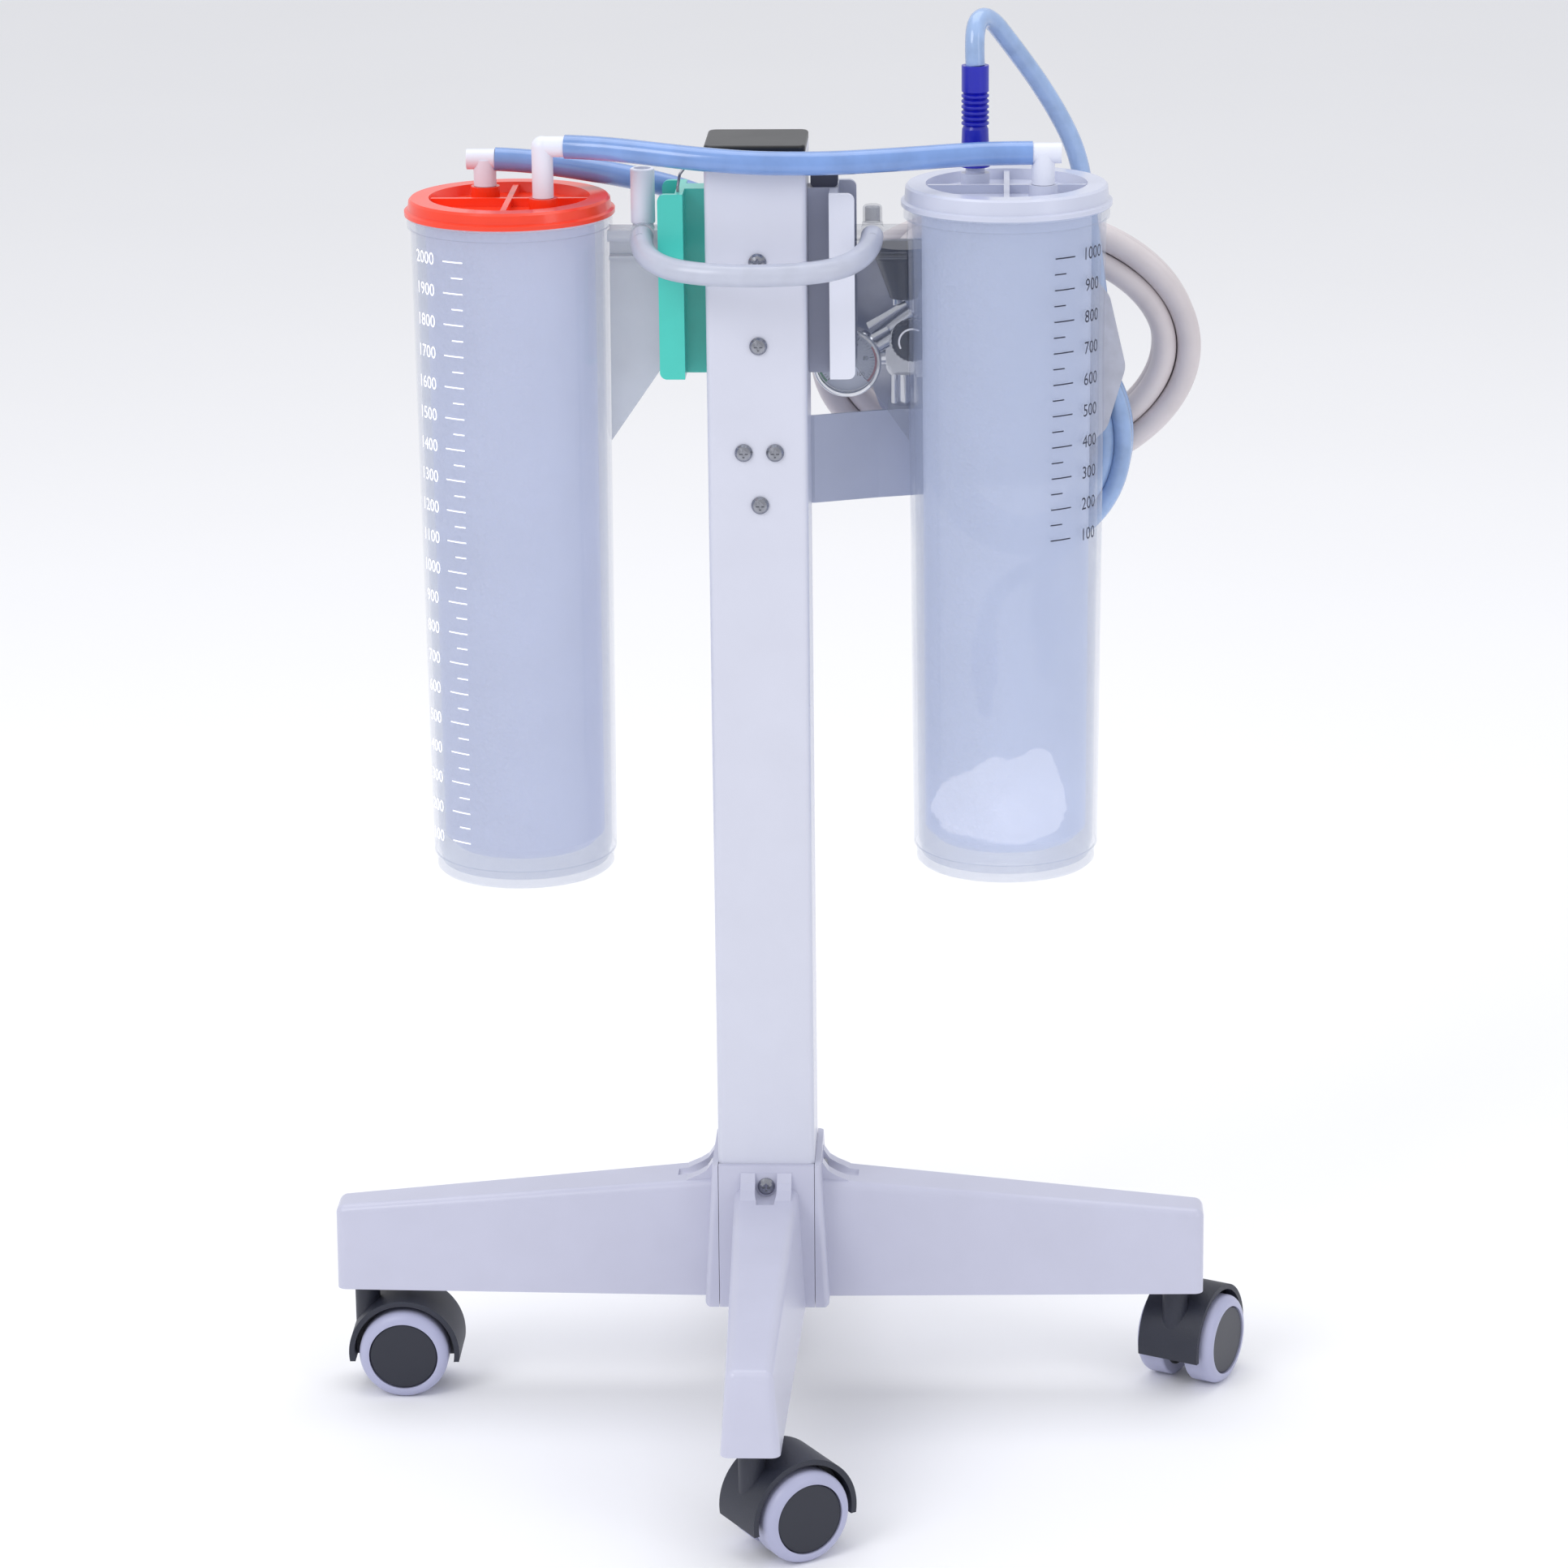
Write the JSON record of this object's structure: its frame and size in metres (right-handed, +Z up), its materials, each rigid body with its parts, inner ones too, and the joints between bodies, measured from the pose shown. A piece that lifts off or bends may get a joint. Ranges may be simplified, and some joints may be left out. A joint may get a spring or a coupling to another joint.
{
  "type": "suction pump trolley",
  "caption": "Four-legged caster stand carrying two clear suction canisters with lids and tubing, a vacuum regulator with gauge, and coiled hoses.",
  "frame": {"origin": "point on the floor under the axis of the square column", "axes": "+Z up the column; +X towards the canister with the white lid; -Y is the front"},
  "size_m": [0.5071, 0.494, 0.7679],
  "materials": {
    "leg_plastic": "smooth moulded plastic, faint lavender white",
    "hood_plastic": "fine-textured dark grey moulded plastic",
    "wheel_plastic": "satin lavender-grey rim and tread with a darker cover",
    "steel": "plain bright steel",
    "column_paint": "white powder coat",
    "black_plastic": "black moulded plastic",
    "teal_plastic": "teal moulded plastic",
    "grey_plastic": "light grey moulded plastic",
    "clear_jar": "clear polycarbonate with a faint blue cast",
    "clear_bracket": "clear polycarbonate",
    "frosted_liner": "frosted soft liner, pebbled",
    "red_lid": "red-orange moulded plastic",
    "white_lid": "white moulded plastic",
    "white_fitting": "white moulded fitting",
    "blue_fitting": "blue moulded fitting",
    "blue_tube": "translucent blue tube",
    "milky_tube": "milky silicone tube",
    "clear_tube": "clear ribbed tube, faint blue",
    "white_hose": "off-white vacuum hose",
    "chrome_metal": "polished chrome plate",
    "gauge_glass": "clear gauge window",
    "needle_paint": "black paint",
    "sheet_paint": "grey powder-coated sheet"
  },
  "bodies": {
    "stand": {"bracket_cap": "clear_bracket", "caster_stems": "steel", "column": "column_paint", "column_cap": "black_plastic", "gauge_case": "chrome_metal", "gauge_lens": "gauge_glass", "holder_latch": "black_plastic", "hose_coil": "white_hose", "hose_hook": "sheet_paint", "hose_probe": "white_fitting", "left_bracket": "clear_bracket", "left_canister": "clear_jar", "left_elbow": "white_fitting", "left_holder": "teal_plastic", "left_lid": "red_lid", "left_liner": "frosted_liner", "left_tee": "white_fitting", "leg_front": "leg_plastic", "leg_left": "leg_plastic", "leg_rear": "leg_plastic", "leg_right": "leg_plastic", "loop_connector": "white_fitting", "loop_tube": "milky_tube", "pan_screws": "steel", "patient_connector": "blue_fitting", "regulator_adaptor": "black_plastic", "regulator_arm": "sheet_paint", "regulator_body": "chrome_metal", "right_bracket": "clear_bracket", "right_canister": "clear_jar", "right_holder": "grey_plastic", "right_lid": "white_lid", "right_liner": "frosted_liner", "right_tee": "white_fitting", "suction_coil": "clear_tube", "suction_connector": "blue_fitting", "suction_tube": "clear_tube", "tandem_tube": "blue_tube", "vacuum_hose": "white_hose", "vacuum_tube": "blue_tube", "wire_clip": "steel"},
    "swivel_left": {"caster_hood_left": "hood_plastic", "caster_axle_left": "steel"},
    "wheel_left_a": {"wheel_left_a": "wheel_plastic"},
    "wheel_left_b": {"wheel_left_b": "wheel_plastic"},
    "swivel_right": {"caster_hood_right": "hood_plastic", "caster_axle_right": "steel"},
    "wheel_right_a": {"wheel_right_a": "wheel_plastic"},
    "wheel_right_b": {"wheel_right_b": "wheel_plastic"},
    "swivel_front": {"caster_hood_front": "hood_plastic", "caster_axle_front": "steel"},
    "wheel_front_a": {"wheel_front_a": "wheel_plastic"},
    "wheel_front_b": {"wheel_front_b": "wheel_plastic"},
    "swivel_rear": {"caster_hood_rear": "hood_plastic", "caster_axle_rear": "steel"},
    "wheel_rear_a": {"wheel_rear_a": "wheel_plastic"},
    "wheel_rear_b": {"wheel_rear_b": "wheel_plastic"},
    "knob": {"regulator_knob": "black_plastic"},
    "needle": {"gauge_needle": "needle_paint"}
  },
  "joints": [
    {"name": "swivel_left_turn", "type": "hinge", "parent": "stand", "child": "swivel_left", "pos_m": [-0.226, 0, 0.05], "axis": [0, 0, 1], "continuous": true},
    {"name": "wheel_left_a_roll", "type": "hinge", "parent": "swivel_left", "child": "wheel_left_a", "pos_m": [-0.2045, 0, 0.025], "axis": [0, 1, 0], "continuous": true},
    {"name": "wheel_left_b_roll", "type": "hinge", "parent": "swivel_left", "child": "wheel_left_b", "pos_m": [-0.2045, 0, 0.025], "axis": [0, 1, 0], "continuous": true},
    {"name": "swivel_right_turn", "type": "hinge", "parent": "stand", "child": "swivel_right", "pos_m": [0.226, 0, 0.05], "axis": [0, 0, 1], "continuous": true},
    {"name": "wheel_right_a_roll", "type": "hinge", "parent": "swivel_right", "child": "wheel_right_a", "pos_m": [0.23586, 0.01911, 0.025], "axis": [-0.8886, 0.4586, 0], "continuous": true},
    {"name": "wheel_right_b_roll", "type": "hinge", "parent": "swivel_right", "child": "wheel_right_b", "pos_m": [0.23586, 0.01911, 0.025], "axis": [-0.8886, 0.4586, 0], "continuous": true},
    {"name": "swivel_front_turn", "type": "hinge", "parent": "stand", "child": "swivel_front", "pos_m": [0, -0.226, 0.05], "axis": [0, 0, 1], "continuous": true},
    {"name": "wheel_front_a_roll", "type": "hinge", "parent": "swivel_front", "child": "wheel_front_a", "pos_m": [0.01809, -0.21438, 0.025], "axis": [-0.5402, 0.8415, 0], "continuous": true},
    {"name": "wheel_front_b_roll", "type": "hinge", "parent": "swivel_front", "child": "wheel_front_b", "pos_m": [0.01809, -0.21438, 0.025], "axis": [-0.5402, 0.8415, 0], "continuous": true},
    {"name": "swivel_rear_turn", "type": "hinge", "parent": "stand", "child": "swivel_rear", "pos_m": [0, 0.226, 0.05], "axis": [0, 0, 1], "continuous": true},
    {"name": "wheel_rear_a_roll", "type": "hinge", "parent": "swivel_rear", "child": "wheel_rear_a", "pos_m": [-0.02045, 0.21936, 0.025], "axis": [0.309, -0.9511, 0], "continuous": true},
    {"name": "wheel_rear_b_roll", "type": "hinge", "parent": "swivel_rear", "child": "wheel_rear_b", "pos_m": [-0.02045, 0.21936, 0.025], "axis": [0.309, -0.9511, 0], "continuous": true},
    {"name": "knob_turn", "type": "hinge", "parent": "stand", "child": "knob", "pos_m": [0.0805, 0.048, 0.5875], "axis": [0, -1, 0], "range_deg": [0, 330]},
    {"name": "needle_turn", "type": "hinge", "parent": "stand", "child": "needle", "pos_m": [0.0455, 0.041, 0.5775], "axis": [0, 1, 0], "range_deg": [0, 270], "stiffness_Nm_per_rad": 0.0005}
  ]
}
